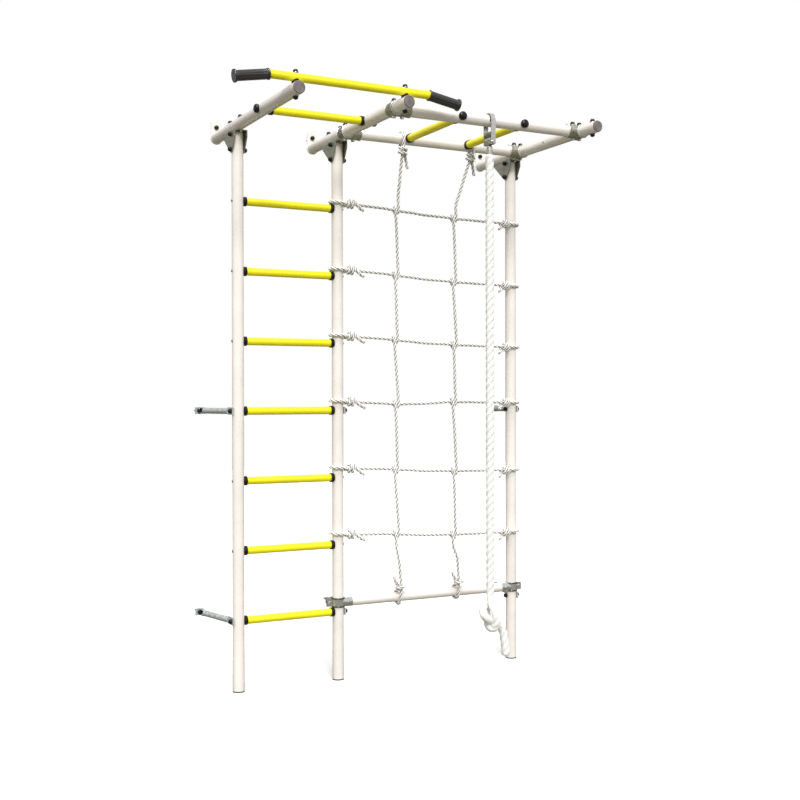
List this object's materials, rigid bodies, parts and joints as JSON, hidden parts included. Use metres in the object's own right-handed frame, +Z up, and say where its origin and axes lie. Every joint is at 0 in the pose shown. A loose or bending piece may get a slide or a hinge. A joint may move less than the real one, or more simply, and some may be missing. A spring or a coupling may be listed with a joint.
{
  "type": "indoor monkey bars",
  "caption": "Wall-mounted indoor monkey bars with a rung ladder, a climbing net, a drooped pull-up bar, overhead rungs and a hanging climbing rope.",
  "frame": {"origin": "centre of the middle post's foot, on the floor", "axes": "+X to the right along the wall, +Y towards the wall, +Z up"},
  "size_m": [1.4478, 0.8631, 2.088],
  "materials": {
    "post_coat": "cream-white powder coat, glossy",
    "yellow_coat": "saturated yellow powder coat, semi-gloss",
    "black_plastic": "black moulded plastic, glossy",
    "grip_rubber": "black rubber, finely ribbed",
    "grey_plastic": "warm grey moulded plastic",
    "dark_plastic": "dark moulded plastic",
    "galvanised_steel": "dull galvanised steel",
    "bright_steel": "bright zinc-plated steel",
    "bolt_steel": "zinc-plated steel",
    "net_cord": "off-white three-strand polyester rope",
    "rope_cord": "thick white three-strand cotton rope"
  },
  "bodies": {
    "frame": {"left_post_lower": "post_coat", "left_post_upper": "post_coat", "mid_post_lower": "post_coat", "mid_post_upper": "post_coat", "right_post_lower": "post_coat", "right_post_upper": "post_coat", "post_spigots": "galvanised_steel", "foot_plugs": "dark_plastic", "post_top_plugs": "dark_plastic", "rung_1": "yellow_coat", "rung_2": "yellow_coat", "rung_3": "yellow_coat", "rung_4": "yellow_coat", "rung_5": "yellow_coat", "rung_6": "yellow_coat", "rung_7": "yellow_coat", "rung_collars": "black_plastic", "left_cantilever": "post_coat", "mid_cantilever": "post_coat", "right_cantilever": "post_coat", "cantilever_end_caps": "grey_plastic", "wall_plates": "post_coat", "left_head_bracket": "galvanised_steel", "mid_head_bracket": "galvanised_steel", "right_head_bracket": "galvanised_steel", "cross_bar": "yellow_coat", "front_rail": "post_coat", "rear_rail": "post_coat", "bottom_rail": "post_coat", "left_monkey_rung": "yellow_coat", "right_monkey_rung": "yellow_coat", "bar_collars": "black_plastic", "mid_front_clamp": "galvanised_steel", "mid_rear_clamp": "galvanised_steel", "right_front_clamp": "galvanised_steel", "right_rear_clamp": "galvanised_steel", "mid_collar_clamp": "bright_steel", "right_collar_clamp": "bright_steel", "pull_up_bar": "yellow_coat", "left_grip": "grip_rubber", "right_grip": "grip_rubber", "bar_saddles": "black_plastic", "upper_wall_arms": "galvanised_steel", "lower_wall_arms": "galvanised_steel", "ladder_bolts": "bolt_steel", "head_bolts": "bolt_steel", "clamp_bolts": "bright_steel", "bar_bolts": "bolt_steel", "wall_anchors": "bolt_steel", "bolt_caps": "black_plastic", "net_rows": "net_cord", "net_left_column": "net_cord", "net_right_column": "net_cord"},
    "hanger_slider": {"hanger_liner": "black_plastic"},
    "hanger": {"hanger_strap": "bright_steel", "hanger_bolts": "bright_steel", "swivel_housing": "bolt_steel"},
    "rope": {"rope_ferrule": "bright_steel", "climbing_rope": "rope_cord", "rope_knot": "rope_cord"}
  },
  "joints": [
    {"name": "hanger_slide", "type": "slide", "parent": "frame", "child": "hanger_slider", "axis": [1, 0, 0], "range_m": [-0.08, 0.08]},
    {"name": "hanger_swing", "type": "hinge", "parent": "hanger_slider", "child": "hanger", "pos_m": [0.378, -0.465, 2.023], "axis": [1, 0, 0], "range_deg": [-45, 10]},
    {"name": "rope_spin", "type": "hinge", "parent": "hanger", "child": "rope", "pos_m": [0.378, -0.465, 1.95], "axis": [0, 0, 1], "continuous": true}
  ]
}
